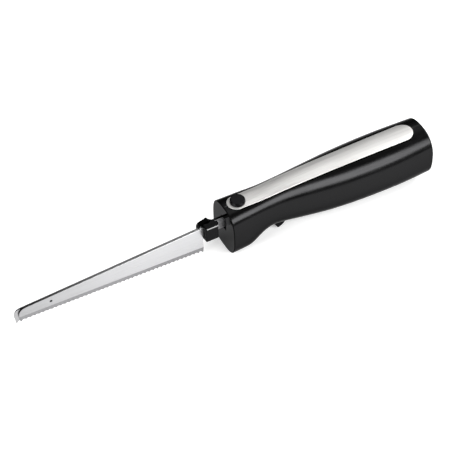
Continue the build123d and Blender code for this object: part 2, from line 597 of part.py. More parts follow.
core = cyl_x(0, AX_Z, 11.6, 106, 138) - cyl_x(0, AX_Z, SHAFT_R, 100, 140)
slots = None
fills = None
for i in range(5):
    c = Pos(0, 0, AX_Z) * Rot(72 * i, 0, 0) * Pos(0, 0, -AX_Z)
    slot = bx(100, 144, -2.6, 2.6, AX_Z + 5.2, AX_Z + 10.2)
    mouth = bx(100, 144, -0.9, 0.9, AX_Z + 9, AX_Z + 13)
    fill = bx(104, 140, -2.3, 2.3, AX_Z + 5.4, AX_Z + 9.9)
    core -= c * (slot + mouth)
    fills = c * fill if fills is None else fills + c * fill
parts["armature_core"] = core
wind = fills
for a, b in ((100.6, 105.8), (138.2, 143.4)):
    rr = cyl_x(0, AX_Z, 10.4, a, b) - cyl_x(0, AX_Z, 3.6, a - 1, b + 1)
    wind += rr
parts["armature_windings"] = wind
com = cyl_x(0, AX_Z, 5.4, 147.0, 156.4) + cyl_x(0, AX_Z, 6.6, 144.6, 147.0) - cyl_x(0, AX_Z, SHAFT_R, 140, 160)
for i in range(10):
    com -= Pos(0, 0, AX_Z) * Rot(36 * i + 18, 0, 0) * bx(147.4, 157, -0.2, 0.2, 4.5, 6)
parts["commutator"] = com

# end cap of the motor, brushes and their springs
endc = cyl_x(0, AX_Z, CAN_R, CAN_X1, 162.0) - cyl_x(0, AX_Z, CAN_R - 1.6, CAN_X1 - 1, 160.2)
endc += cyl_x(0, AX_Z, 5.6, 157.6, 162.0)
for s in (-1, 1):
    endc += bx(150.6, 160.5, s * 7.2, s * 16.6, AX_Z - 3.4, AX_Z + 3.4)
endc -= cyl_x(0, AX_Z, 4.0, 150, 165)
for s in (-1, 1):
    endc -= bx(152.0, 157.0, s * 4.0, s * 15.9, AX_Z - 2.1, AX_Z + 2.1)
parts["brush_holder"] = endc
bru, bsp = [], []
for s in (-1, 1):
    bru.append(bx(152.1, 156.9, s * 5.65, s * 12.0, AX_Z - 2.0, AX_Z + 2.0).solid())
    c = coil(0, 0, 12.05, 15.85, 1.4, 0.25, 4)
    c = Pos(154.5, 0, AX_Z) * Rot(-90 * s, 0, 0) * c
    bsp.append(c.solid())
parts["brushes"] = Compound(bru)
parts["brush_springs"] = Compound(bsp)

# ---------------------------------------------------------------------------
# trigger, its pin and spring, and the switch
# ---------------------------------------------------------------------------
tp = [Vector(48.6, 0, -4.1), Vector(50.5, 0, -4.1), Vector(56.0, 0, -5.0), Vector(62.4, 0, -6.9), Vector(63.6, 0, -9.4)]
te = [Edge.make_line(a, b) for a, b in zip(tp[:-1], tp[1:])]
low = [tp[-1], Vector(62.8, 0, -13.8), Vector(60.6, 0, -17.6), Vector(57.6, 0, -20.1), Vector(55.2, 0, -21.05)]
te.append(Edge.make_spline(low, tangents=[Vector(-0.1, 0, -1), Vector(-1, 0, -0.25)]))
te.append(Edge.make_three_point_arc(low[-1], Vector(54.1, 0, -21.05), Vector(53.2, 0, -20.3)))
fr = [Vector(53.2, 0, -20.3), Vector(50.6, 0, -16.2), Vector(47.6, 0, -13.4), Vector(44.4, 0, -11.8)]
te.append(Edge.make_spline(fr, tangents=[Vector(-0.55, 0, 1), Vector(-1, 0, 0.3)]))
te.append(Edge.make_line(fr[-1], Vector(44.25, 0, -4.4)))
te.append(Edge.make_line(Vector(44.25, 0, -4.4), tp[0]))
tf = Face(Wire(te))
trig = extrude(Pos(0, -TRIG_W, 0) * tf, amount=2 * TRIG_W, dir=(0, 1, 0))
try:
    trig = fillet([e for e in trig.edges() if abs(abs(e.center().Y) - TRIG_W) < 0.01 and e.center().Z < -10.5], 1.1)
except Exception as err:
    print("trigger rounding failed", err)
trig += cyl_y(PIV_X, PIV_Z, 1.95, -TRIG_W, TRIG_W)
trig -= cyl_y(PIV_X, PIV_Z, 1.05, -10, 10)
parts["trigger"] = trig
parts["trigger_pin"] = cyl_y(PIV_X, PIV_Z, 1.0, -10.9, 10.9)

# torsion spring round the pin, beside the trigger
tc = coil(0, 0, 0, 1.7, 1.25, 0.16, 3)
tc = Pos(PIV_X, 6.1, PIV_Z) * Rot(-90, 0, 0) * tc
parts["trigger_spring"] = tc

sw = bx(49.6, 60.0, -2.9, 2.9, -2.5, 2.0)
for px in SWITCH_PINS:
    sw -= cyl_y(px, 0.7, 0.9, -5, 5)
sw -= cyl_z(54.8, 0, 1.0, -3, 1.4)
for px in (50.6, 54.8, 59.2):
    sw += bx(px - 0.25, px + 0.25, -4.9, -2.9, -1.9, -1.0)
parts["micro_switch"] = sw
parts["switch_plunger"] = cyl_z(54.8, 0, 0.9, -4.5, -0.6)

# ---------------------------------------------------------------------------
# circuit board with rectifier, cord gland and clamp, leads
# ---------------------------------------------------------------------------
brd = bx(166.0, 195.0, -13.0, 13.0, -5.0, -3.4)
parts["rectifier_board"] = brd
dio = []
for i in range(4):
    yy = -9.0 + 6.0 * i
    d = cyl_x(yy, -2.0, 1.35, 174.5, 179.5) + bx(171.6, 174.5, yy - 0.3, yy + 0.3, -2.3, -1.7) + bx(179.5, 182.0, yy - 0.3, yy + 0.3, -2.3, -1.7)
    d += bx(171.6, 172.2, yy - 0.3, yy + 0.3, -3.4, -1.7) + bx(181.4, 182.0, yy - 0.3, yy + 0.3, -3.4, -1.7)
    dio.append(d.solid())
parts["diodes"] = Compound(dio)
capx = bx(167.2, 170.6, -8.0, 4.0, -3.4, 5.4)
parts["capacitor"] = fillet(capx.edges().filter_by(Axis.Z), 0.8)

gl = cyl_x(0, GLAND_Z, 6.0, HANDLE_L - GLAND_L, HANDLE_L) + cyl_x(0, GLAND_Z, 7.6, HANDLE_L - GLAND_L, HANDLE_L - WALL)
gl -= cyl_x(0, GLAND_Z, GLAND_BORE_R, 200, 215)
parts["cord_gland"] = gl

cl = bx(183.6, 190.4, 2.6, 5.2, GLAND_Z - 10.3, GLAND_Z + 10.3)
cl = fillet(cl.edges().filter_by(Axis.Y), 2.2)
cl -= cyl_x(1.6, GLAND_Z, 3.1, 180, 195)
csc = []
for pz in (GLAND_Z - 7.6, GLAND_Z + 7.6):
    cl -= cyl_y(187.0, pz, 1.2, 0, 8)
    q = cyl_y(187.0, pz, 1.0, -6.0, 5.2) + cyl_y(187.0, pz, 2.0, 5.2, 6.8)
    q -= bx(185.4, 188.6, 6.1, 7.0, pz - 0.3, pz + 0.3)
    csc.append(q.solid())
parts["cord_clamp"] = cl
parts["clamp_screws"] = Compound(csc)

hs = []
for sx, sz in SCREWS:
    q = cyl_y(sx, sz, 1.25, -12.0, 6.2) + cyl_y(sx, sz, 2.8, 6.0, 8.0)
    q -= bx(sx - 1.9, sx + 1.9, 7.2, 9, sz - 0.35, sz + 0.35) + bx(sx - 0.35, sx + 0.35, 7.2, 9, sz - 1.9, sz + 1.9)
    hs.append(q.solid())
parts["housing_screws"] = Compound(hs)

parts["switch_leads"] = Compound([tube(p, 0.7).solid() for p in LEAD_PATHS])
ml = []
for s in (-1, 1):
    ml.append(tube([(162.05, s * 11.5, 4.0), (164.4, s * 11.5, 4.0), (166.6, s * 11.0, 1.2), (167.4, s * 10.2, -1.4), (167.4, s * 10.2, -3.35)], 0.7).solid())
parts["motor_leads"] = Compound(ml)

# ---------------------------------------------------------------------------
# write the parts
# ---------------------------------------------------------------------------
lo, hi = [1e9] * 3, [-1e9] * 3
for name, p in parts.items():
    q = Pos(*ORIGIN) * p
    bb = q.bounding_box()
    for i, (a, b) in enumerate(zip((bb.min.X, bb.min.Y, bb.min.Z), (bb.max.X, bb.max.Y, bb.max.Z))):
        lo[i], hi[i] = min(lo[i], a), max(hi[i], b)
    export_step(q, f"parts/{name}.step")
print("box", [round(v, 3) for v in lo], [round(v, 3) for v in hi])
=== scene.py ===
import json
import math

import bmesh
import bpy
import numpy as np
from mathutils import Matrix, Vector


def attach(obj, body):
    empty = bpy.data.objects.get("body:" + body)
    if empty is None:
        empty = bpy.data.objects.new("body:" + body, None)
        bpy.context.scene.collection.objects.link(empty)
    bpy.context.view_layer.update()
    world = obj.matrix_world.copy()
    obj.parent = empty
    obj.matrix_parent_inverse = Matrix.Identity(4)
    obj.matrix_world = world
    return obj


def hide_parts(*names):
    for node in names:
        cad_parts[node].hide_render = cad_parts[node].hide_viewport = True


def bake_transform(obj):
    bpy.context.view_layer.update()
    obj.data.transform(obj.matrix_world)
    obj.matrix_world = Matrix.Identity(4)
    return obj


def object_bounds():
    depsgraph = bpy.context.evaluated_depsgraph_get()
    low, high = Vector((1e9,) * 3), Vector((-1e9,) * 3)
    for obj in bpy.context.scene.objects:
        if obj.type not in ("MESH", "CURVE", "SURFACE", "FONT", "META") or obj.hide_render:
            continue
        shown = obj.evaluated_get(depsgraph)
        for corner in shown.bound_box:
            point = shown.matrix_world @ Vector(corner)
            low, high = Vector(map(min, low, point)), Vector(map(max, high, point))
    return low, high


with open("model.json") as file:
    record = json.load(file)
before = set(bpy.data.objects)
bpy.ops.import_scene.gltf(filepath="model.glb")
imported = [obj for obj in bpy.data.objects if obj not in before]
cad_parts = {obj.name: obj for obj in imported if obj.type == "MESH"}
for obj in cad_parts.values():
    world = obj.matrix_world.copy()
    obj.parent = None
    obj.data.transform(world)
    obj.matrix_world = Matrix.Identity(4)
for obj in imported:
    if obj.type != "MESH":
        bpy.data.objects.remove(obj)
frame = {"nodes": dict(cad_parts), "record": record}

cad_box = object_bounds()
nodes = frame["nodes"]

# ---------------------------------------------------------------------------
# Shape data, millimetres, in the knife's working frame: x = 0 at the handle's
# front face, +X to the rear, -Y towards the near side, +Z up.
# ---------------------------------------------------------------------------
OX, OZ = -1.8, 22.33
HANDLE_L = 210.8
WALL = 2.4
ST_X = [0.0, 6.0, 12.2, 20.0, 30.6, 40.0, 51.0, 64.0, 76.5, 95.0, 112.1, 130.0, 152.9, 175.0, 190.0, 210.8]
ST_TOP = [27.9, 28.3, 28.6, 28.8, 29.1, 29.7, 30.7, 31.6, 32.1, 32.4, 32.5, 32.6, 32.7, 32.7, 32.7, 32.7]
ST_BOT = [-22.0, -22.3, -22.3, -21.3, -14.8, -10.6, -10.4, -12.9, -15.0, -17.4, -18.5, -19.1, -19.5, -19.8, -19.8, -19.5]
ST_W = [20.6, 20.1, 19.7, 19.3, 18.3, 17.65, 17.75, 18.85, 20.3, 22.4, 24.2, 25.4, 26.15, 26.1, 25.4, 24.0]
ST_N = [3.0, 2.97, 2.95, 2.93, 2.74, 2.52, 2.4, 2.31, 2.28, 2.3, 2.33, 2.36, 2.38, 2.4, 2.43, 2.46]
BUTTON_X, BUTTON_R, BUTTON_TOP = 14.8, 7.0, 31.5
STRIP_R_FRONT, STRIP_R_REAR, STRIP_X_FRONT, STRIP_X_REAR = 8.8, 10.55, 13.4, 189.3
STRIP_T, STRIP_PROUD, STRIP_GAP = 0.8, 0.15, 0.3
REST = 2.0
BLADE_T, BLADE_GAP = 1.3, 0.05
TIP_X, HEEL_X = -204.5, -23.7
TIP_BOT, TIP_TOP, HEEL_BOT, HEEL_TOP = -11.9, 4.3, -18.3, 13.7
TOOTH_PITCH, TOOTH_DEPTH, BEVEL_H = 4.14, 1.9, 7.2
TANG_Z0, TANG_Z1, TANG_END = 4.3, 14.6, 26.4
SCREWS = [(9.2, -14.4), (31.0, 22.4), (82.0, -7.2), (167.5, 21.0), (200.2, -9.2), (199.0, 22.6)]
GLAND_Z = 7.0
TRIG_W = 5.7


def spline_table(xs, ys):
    xs, ys = np.array(xs, float), np.array(ys, float)
    n = len(xs)
    h = np.diff(xs)
    a, b = np.zeros((n, n)), np.zeros(n)
    a[0, 0] = a[-1, -1] = 1.0
    for i in range(1, n - 1):
        a[i, i - 1], a[i, i], a[i, i + 1] = h[i - 1], 2 * (h[i - 1] + h[i]), h[i]
        b[i] = 6 * ((ys[i + 1] - ys[i]) / h[i] - (ys[i] - ys[i - 1]) / h[i - 1])
    m = np.linalg.solve(a, b)

    def f(x):
        i = int(np.clip(np.searchsorted(xs, x) - 1, 0, n - 2))
        t, u = xs[i + 1] - x, x - xs[i]
        return (m[i] * t ** 3 + m[i + 1] * u ** 3) / (6 * h[i]) + (ys[i] / h[i] - m[i] * h[i] / 6) * t + (ys[i + 1] / h[i] - m[i + 1] * h[i] / 6) * u
    return f


f_top, f_bot, f_w, f_n = (spline_table(ST_X, v) for v in (ST_TOP, ST_BOT, ST_W, ST_N))


def sec(x, inset=0.0):
    top, bot, w = f_top(x) - inset, f_bot(x) + inset, f_w(x) - inset
    return (top + bot) / 2, (top - bot) / 2, w, f_n(x)


def surf_z(x, y, out=0.0):
    zc, h, w, n = sec(x, -out)
    return zc + h * (1 - min(abs(y) / w, 1.0) ** n) ** (1 / n)


# ---------------------------------------------------------------------------
# mesh helpers
# ---------------------------------------------------------------------------
def new_object(name, verts, faces):
    me = bpy.data.meshes.new(name)
    me.from_pydata([((x + OX) / 1000, y / 1000, (z + OZ) / 1000) for x, y, z in verts], [], faces)
    me.update()
    bm = bmesh.new()
    bm.from_mesh(me)
    bmesh.ops.remove_doubles(bm, verts=bm.verts, dist=2e-7)
    bmesh.ops.recalc_face_normals(bm, faces=bm.faces)
    bm.to_mesh(me)
    bm.free()
    ob = bpy.data.objects.new(name, me)
    bpy.context.scene.collection.objects.link(ob)
    return ob


def apply_modifiers(ob):
    dg = bpy.context.evaluated_depsgraph_get()
    me = bpy.data.meshes.new_from_object(ob.evaluated_get(dg), preserve_all_data_layers=True, depsgraph=dg)
    ob.modifiers.clear()
    old = ob.data
    ob.data = me
    bpy.data.meshes.remove(old)


def boolean(ob, cutters, op="DIFFERENCE"):
    for c in cutters:
        m = ob.modifiers.new("b", "BOOLEAN")
        m.operation, m.solver, m.object = op, "MANIFOLD", c
    apply_modifiers(ob)
    if not ob.data.vertices:
        raise ValueError("nothing left of " + ob.name)
    for c in cutters:
        me = c.data
        bpy.data.objects.remove(c)
        bpy.data.meshes.remove(me)


def smooth(ob, angle=32.0, weighted=True):
    bm = bmesh.new()
    bm.from_mesh(ob.data)
    bmesh.ops.remove_doubles(bm, verts=bm.verts, dist=2e-7)
    bmesh.ops.dissolve_degenerate(bm, edges=bm.edges, dist=1e-7)
    bm.to_mesh(ob.data)
    bm.free()
    ob.data.shade_smooth()
    ob.data.set_sharp_from_angle(angle=math.radians(angle))
    if weighted:
        m = ob.modifiers.new("w", "WEIGHTED_NORMAL")
        m.keep_sharp = True
        m.weight = 50
        apply_modifiers(ob)


def give(ob, material, body, *replaced):
    ob.data.materials.clear()
    ob.data.materials.append(material)
    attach(ob, body)
    if replaced:
        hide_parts(*replaced)


def rings_object(name, rings, close_ends=True):
    """Closed body from rings of equal length."""
    n = len(rings[0])
    verts = [p for r in rings for p in r]
    faces = []
    for k in range(len(rings) - 1):
        for i in range(n):
            j = (i + 1) % n
            faces.append((k * n + i, k * n + j, (k + 1) * n + j, (k + 1) * n + i))
    if close_ends:
        faces.append(tuple(range(n - 1, -1, -1)))
        faces.append(tuple((len(rings) - 1) * n + i for i in range(n)))
    return new_object(name, verts, faces)


def box_object(x0, x1, y0, y1, z0, z1):
    return rings_object("cut", [[(x0, y0, z), (x1, y0, z), (x1, y1, z), (x0, y1, z)] for z in (z0, z1)])


def cylinder(axis, a, b, r, c0, c1, seg=96):
    ring = []
    for c in (c0, c1):
        pts = []
        for i in range(seg):
            t = 2 * math.pi * i / seg
            p, q = a + r * math.cos(t), b + r * math.sin(t)
            pts.append({"x": (c, p, q), "y": (p, c, q), "z": (p, q, c)}[axis])
        ring.append(pts)
    return rings_object("cut", ring)


def lathe(name, cx, cy, profile, seg=128):
    """Body turned about a vertical axis; profile is (radius, z) from the axis and back to it."""
    rings = []
    for r, z in profile:
        r = max(r, 1e-4)
        rings.append([(cx + r * math.cos(2 * math.pi * i / seg), cy + r * math.sin(2 * math.pi * i / seg), z) for i in range(seg)])
    return rings_object(name, rings)


def round_poly(pts, radii, seg=6):
    """Rounds the corners of a flat polygon; radii is one number or one for each corner."""
    n = len(pts)
    rr = radii if isinstance(radii, (list, tuple)) else [radii] * n
    out = []
    for i in range(n):
        p, a, b = (np.array(pts[j % n], float) for j in (i, i - 1, i + 1))
        u, v = a - p, b - p
        lu, lv = np.linalg.norm(u), np.linalg.norm(v)
        u, v = u / lu, v / lv
        ang = math.acos(max(-1, min(1, float(u @ v))))
        r = rr[i]
        if r <= 0 or ang > math.pi - 0.02:
            out.append(tuple(p))
            continue
        d = min(r / math.tan(ang / 2), 0.48 * lu, 0.48 * lv)
        p0, p1 = p + u * d, p + v * d
        for k in range(seg + 1):
            t = k / seg
            q = (1 - t) ** 2 * p0 + 2 * t * (1 - t) * p + t ** 2 * p1
            out.append(tuple(q))
    return out


def inset_poly(pts, d):
    """Moves every point of a counter-clockwise polygon inwards by about d."""
    p = np.array(pts, float)
    a, b = np.roll(p, 1, 0), np.roll(p, -1, 0)
    t = b - a
    t /= np.linalg.norm(t, axis=1)[:, None]
    nrm = np.stack([-t[:, 1], t[:, 0]], 1)
    area = 0.5 * np.sum(p[:, 0] * b[:, 1] - b[:, 0] * p[:, 1])
    return [tuple(q) for q in (p + nrm * (d if area > 0 else -d))]


# ---------------------------------------------------------------------------
# materials
# ---------------------------------------------------------------------------
class Mat:
    def __init__(self, name):
        self.m = bpy.data.materials.new(name)
        self.m.use_nodes = True
        self.t = self.m.node_tree
        self.b = self.t.nodes["Principled BSDF"]
        self.co = self.t.nodes.new("ShaderNodeTexCoord")

    def node(self, kind, **props):
        n = self.t.nodes.new(kind)
        for k, v in props.items():
            setattr(n, k, v)
        return n

    def link(self, a, b):
        self.t.links.new(a, b)

    def noise(self, scale, stretch=(1, 1, 1), detail=4.0, rough=0.5, turn=(0, 0, 0)):
        mp = self.node("ShaderNodeMapping")
        mp.inputs["Scale"].default_value = stretch
        mp.inputs["Rotation"].default_value = turn
        self.link(self.co.outputs["Object"], mp.inputs["Vector"])
        nz = self.node("ShaderNodeTexNoise")
        nz.inputs["Scale"].default_value = scale
        nz.inputs["Detail"].default_value = detail
        nz.inputs["Roughness"].default_value = rough
        self.link(mp.outputs["Vector"], nz.inputs["Vector"])
        return nz.outputs["Fac"]

    def ramp(self, fac, lo, hi, a=0.0, b=1.0):
        n = self.node("ShaderNodeMapRange")
        n.inputs["From Min"].default_value, n.inputs["From Max"].default_value = a, b
        n.inputs["To Min"].default_value, n.inputs["To Max"].default_value = lo, hi
        self.link(fac, n.inputs["Value"])
        return n.outputs["Result"]

    def mix(self, fac, c0, c1):
        n = self.node("ShaderNodeMix", data_type="RGBA")
        n.inputs[6].default_value, n.inputs[7].default_value = (*c0, 1), (*c1, 1)
        self.link(fac, n.inputs["Factor"])
        return n.outputs[2]

    def math(self, op, a, b):
        n = self.node("ShaderNodeMath", operation=op)
        for i, v in enumerate((a, b)):
            if isinstance(v, (int, float)):
                n.inputs[i].default_value = v
            else:
                self.link(v, n.inputs[i])
        return n.outputs[0]

    def bump(self, height, strength, distance, below=None):
        n = self.node("ShaderNodeBump")
        n.inputs["Strength"].default_value, n.inputs["Distance"].default_value = strength, distance
        self.link(height, n.inputs["Height"])
        if below is not None:
            self.link(below, n.inputs["Normal"])
        return n.outputs["Normal"]

    def set(self, **kw):
        for k, v in kw.items():
            self.b.inputs[k.replace("_", " ")].default_value = v
        return self


def gloss_plastic(name, c0=(0.016, 0.016, 0.0165), c1=(0.020, 0.020, 0.0205), rough=(0.21, 0.28), edge=0.5):
    """Deep black moulding that shows its gloss and next to nothing else."""
    m = Mat(name)
    m.set(Metallic=1.0)
    m.b.inputs["Specular Tint"].default_value = (edge, edge, edge, 1)
    big, fine = m.noise(9.0, detail=2.0), m.noise(900.0, detail=3.0)
    m.link(m.mix(big, c0, c1), m.b.inputs["Base Color"])
    scratch = m.noise(160.0, stretch=(0.25, 3.0, 3.0), detail=5.0, turn=(0.1, 0.2, 0.35))
    r = m.ramp(scratch, rough[0], rough[1], 0.35, 0.7)
    m.link(r, m.b.inputs["Roughness"])
    m.link(m.bump(fine, 0.10, 0.00004), m.b.inputs["Normal"])
    return m.m


def matte_plastic(name, c0, c1, rough=(0.38, 0.55), grain=700.0, depth=0.00006):
    m = Mat(name)
    m.link(m.mix(m.noise(35.0, detail=4.0), c0, c1), m.b.inputs["Base Color"])
    g = m.noise(grain, detail=2.0)
    m.link(m.ramp(g, rough[0], rough[1], 0.3, 0.7), m.b.inputs["Roughness"])
    m.link(m.bump(g, 0.35, depth), m.b.inputs["Normal"])
    return m.m


def metal(name, c0, c1, rough=(0.25, 0.4), lines=(20, 1500, 1500), scale=1.0, depth=0.00002, aniso=0.0, strength=0.25, uv=False, along=None):
    """Metal with fine lines; along=(x0, x1, share) takes the tone from c0 to c1 along X, with that share of the whole."""
    m = Mat(name)
    m.set(Metallic=1.0)
    s = m.noise(scale, stretch=lines, detail=5.0, rough=0.65)
    blotch = m.noise(22.0, detail=3.0)
    both = m.math("ADD", m.math("MULTIPLY", s, 0.75), m.math("MULTIPLY", blotch, 0.25))
    tone = m.ramp(both, 0, 1, 0.3, 0.7)
    if along:
        sx = m.node("ShaderNodeSeparateXYZ")
        m.link(m.co.outputs["Object"], sx.inputs[0])
        tone = m.math("ADD", m.math("MULTIPLY", tone, 1 - along[2]), m.ramp(sx.outputs[0], 0, along[2], along[0], along[1]))
    m.link(m.mix(tone, c0, c1), m.b.inputs["Base Color"])
    m.link(m.ramp(s, rough[0], rough[1], 0.3, 0.7), m.b.inputs["Roughness"])
    m.link(m.bump(s, strength, depth), m.b.inputs["Normal"])
    if aniso:
        m.b.inputs["Anisotropic"].default_value = aniso
        if uv:
            tg = m.node("ShaderNodeTangent", direction_type="UV_MAP", uv_map="UVMap")
            m.link(tg.outputs["Tangent"], m.b.inputs["Tangent"])
    return m.m


M_BODY = gloss_plastic("gloss_black_shell")
M_CTRL = gloss_plastic("gloss_black_controls", (0.012, 0.012, 0.013), (0.016, 0.016, 0.017), (0.14, 0.20))
M_COLLAR = gloss_plastic("satin_black_collars", (0.010, 0.010, 0.0105), (0.016, 0.016, 0.0165), (0.20, 0.30))
# painted light: a lighter, glossier copy of the black shell for the front face, standing in for the light falling
# on it
M_FACE = gloss_plastic("gloss_black_face", (0.042, 0.042, 0.043), (0.048, 0.048, 0.049), (0.07, 0.11))
# painted shade: a near-black rough copy of the shell for the front rim and the blade slot's walls, standing in for
# the dark edge line and the shade inside the slot
M_SLOT_RIM_SHADE = gloss_plastic("slot_and_rim_painted_shade", (0.004, 0.004, 0.004), (0.006, 0.006, 0.006), (0.4, 0.5))
M_STRIP = metal("brushed_strip", (0.72, 0.71, 0.695), (0.89, 0.88, 0.86), (0.42, 0.50), (12, 900, 900), 1.0, 0.00002, 0.0, 0.3)
# painted light: the along ramp makes the blade faces lighter from the tip towards the heel, standing in for the
# light they catch and lifting the floor's shade near the heel; the fine streaks are real brushing
M_BLADE = metal("satin_blade", (0.33, 0.33, 0.335), (0.57, 0.57, 0.58), (0.26, 0.36), (16, 1000, 1000), 1.0, 0.000015, 0.0, 0.2, along=(-0.20, -0.04, 0.75))
M_EDGE = metal("ground_edge", (0.19, 0.19, 0.195), (0.27, 0.27, 0.275), (0.24, 0.36), (2400, 2400, 160), 1.0, 0.00002, 0.0, 0.25)
# painted shade: the along ramp keeps the spine near-black at the tip and lighter towards the heel, standing in for
# how the spine catches the light
M_SPINE = metal("blade_spine", (0.04, 0.04, 0.041), (0.29, 0.29, 0.29), (0.36, 0.46), (30, 1800, 1800), along=(-0.20, -0.12, 0.85))
# painted shadow: near-black steel for the near blade's nose edge, standing in for the shade gap along it
M_NOSE_SHADE = metal("nose_edge_painted_shade", (0.02, 0.02, 0.021), (0.035, 0.035, 0.036), (0.25, 0.35), (300, 300, 300))
M_RIVET = metal("rivet_head", (0.012, 0.012, 0.012), (0.02, 0.02, 0.02), (0.3, 0.4), (300, 300, 300))
M_CLIP = metal("collar_clip_steel", (0.09, 0.09, 0.09), (0.13, 0.13, 0.13), (0.30, 0.42), (60, 900, 900))

fine_steel = metal("plain_steel", (0.50, 0.50, 0.50), (0.64, 0.64, 0.63), (0.22, 0.36), (300, 300, 300))
grey_steel = metal("drawn_steel", (0.40, 0.40, 0.41), (0.52, 0.52, 0.52), (0.35, 0.5), (90, 900, 900))
brass = metal("turned_brass", (0.62, 0.46, 0.18), (0.75, 0.58, 0.26), (0.25, 0.38), (900, 120, 120))
copper = metal("wound_copper", (0.56, 0.25, 0.10), (0.70, 0.36, 0.16), (0.28, 0.42), (120, 2600, 2600))
CAD_LOOK = {
    "nylon": matte_plastic("nylon", (0.66, 0.64, 0.58), (0.76, 0.74, 0.68)),
    "grey_plastic": matte_plastic("grey_moulding", (0.05, 0.05, 0.055), (0.08, 0.08, 0.085)),
    "ferrite": matte_plastic("ferrite", (0.035, 0.035, 0.04), (0.06, 0.06, 0.065), (0.6, 0.8)),
    "carbon": matte_plastic("carbon", (0.02, 0.02, 0.022), (0.04, 0.04, 0.042), (0.45, 0.6)),
    "board": matte_plastic("circuit_board", (0.24, 0.15, 0.05), (0.33, 0.21, 0.08)),
    "gland": matte_plastic("soft_gland", (0.010, 0.010, 0.011), (0.020, 0.020, 0.021), (0.5, 0.7)),
    "lead": matte_plastic("lead_cover", (0.30, 0.02, 0.02), (0.42, 0.04, 0.03), (0.35, 0.5)),
    "cap": matte_plastic("film_capacitor", (0.52, 0.33, 0.04), (0.66, 0.45, 0.08), (0.2, 0.35)),
    "hardware": fine_steel, "motor_steel": grey_steel, "brass": brass, "copper": copper,
    "housing": M_BODY, "controls": M_CTRL, "collars": M_COLLAR, "strip": M_STRIP, "blade": M_BLADE,
}
for row in frame["record"]["subparts"]:
    ob = nodes.get(row["node"])
    if ob is not None:
        ob.data.materials.clear()
        ob.data.materials.append(CAD_LOOK[row["material_slot"]])

nodes["collar_clip"].data.materials[0] = M_CLIP

# ---------------------------------------------------------------------------
# housing shells
# ---------------------------------------------------------------------------
RIM_F, RIM_R = 0.8, 1.2


def half_ring(x, inset, side, count, y_edge, extra=None):
    """Points of one half section from the top edge to the bottom edge, evenly spaced."""
    zc, h, w, n = sec(x, inset)
    t = np.linspace(math.pi / 2, -math.pi / 2, 361)
    c, s = np.abs(np.cos(t)), np.sin(t)
    c[0] = c[-1] = 0.0
    y = w * c ** (2 / n)
    z = zc + h * np.sign(s) * np.abs(s) ** (2 / n)
    d = np.concatenate([[0], np.cumsum(np.hypot(np.diff(y), np.diff(z)))])
    u = np.linspace(0, d[-1], count)
    yy, zz = np.interp(u, d, y), np.interp(u, d, z)
    pts = [(x, side * float(a), float(b)) for a, b in zip(yy, zz)]
    if extra is not None:       # small chamfer along the parting line
        top, bot = pts[0], pts[-1]
        pts = [(x, side * y_edge, top[2] - extra)] + [(x, side * (y_edge + extra), top[2])] + pts[1:-1] + [(x, side * (y_edge + extra), bot[2]), (x, side * y_edge, bot[2] + extra)]
    else:
        pts = [(x, side * y_edge, pts[0][2])] + pts[1:-1] + [(x, side * y_edge, pts[-1][2])]
    return pts


def outer_half(side):
    rows = []
    for k in range(6):
        b = math.radians(90 - 18 * k)
        rows.append((RIM_F * (1 - math.sin(b)), RIM_F * (1 - math.cos(b))))
    xs = list(np.arange(RIM_F + 0.9, 60, 0.9)) + list(np.arange(60, HANDLE_L - RIM_R - 0.8, 1.5))
    rows += [(float(x), 0.0) for x in xs]
    for k in range(9):
        b = math.radians(90 * k / 8)
        rows.append((HANDLE_L - RIM_R * (1 - math.sin(b)), RIM_R * (1 - math.cos(b))))
    return rings_object("shell", [half_ring(x, i, side, 92, 0.03, 0.16) for x, i in rows])


def inner_half(side):
    rings = []
    for x in [WALL] + list(np.arange(6, 204, 4.0)) + [HANDLE_L - WALL]:
        rings.append(half_ring(float(x), WALL, side, 44, -1.0))
    return rings_object("cut", rings)


def stadium(s, d):
    """Point on half of the strip's outline, moved in by d; s runs 0..1 from front to rear."""
    r1, r2 = STRIP_R_FRONT - d, STRIP_R_REAR - d
    length = STRIP_X_REAR - STRIP_X_FRONT
    lean = math.asin((r2 - r1) / length)
    if s < 0.18:
        a = math.pi + (math.pi / 2 + lean - math.pi) * (s / 0.18)
        return STRIP_X_FRONT + r1 * math.cos(a), r1 * math.sin(a)
    if s > 0.82:
        a = (math.pi / 2 + lean) * (1 - (s - 0.82) / 0.18)
        return STRIP_X_REAR + r2 * math.cos(a), r2 * math.sin(a)
    t = (s - 0.18) / 0.64
    a = math.pi / 2 + lean
    p = (STRIP_X_FRONT + r1 * math.cos(a), r1 * math.sin(a))
    q = (STRIP_X_REAR + r2 * math.cos(a), r2 * math.sin(a))
    return p[0] + (q[0] - p[0]) * t, p[1] + (q[1] - p[1]) * t


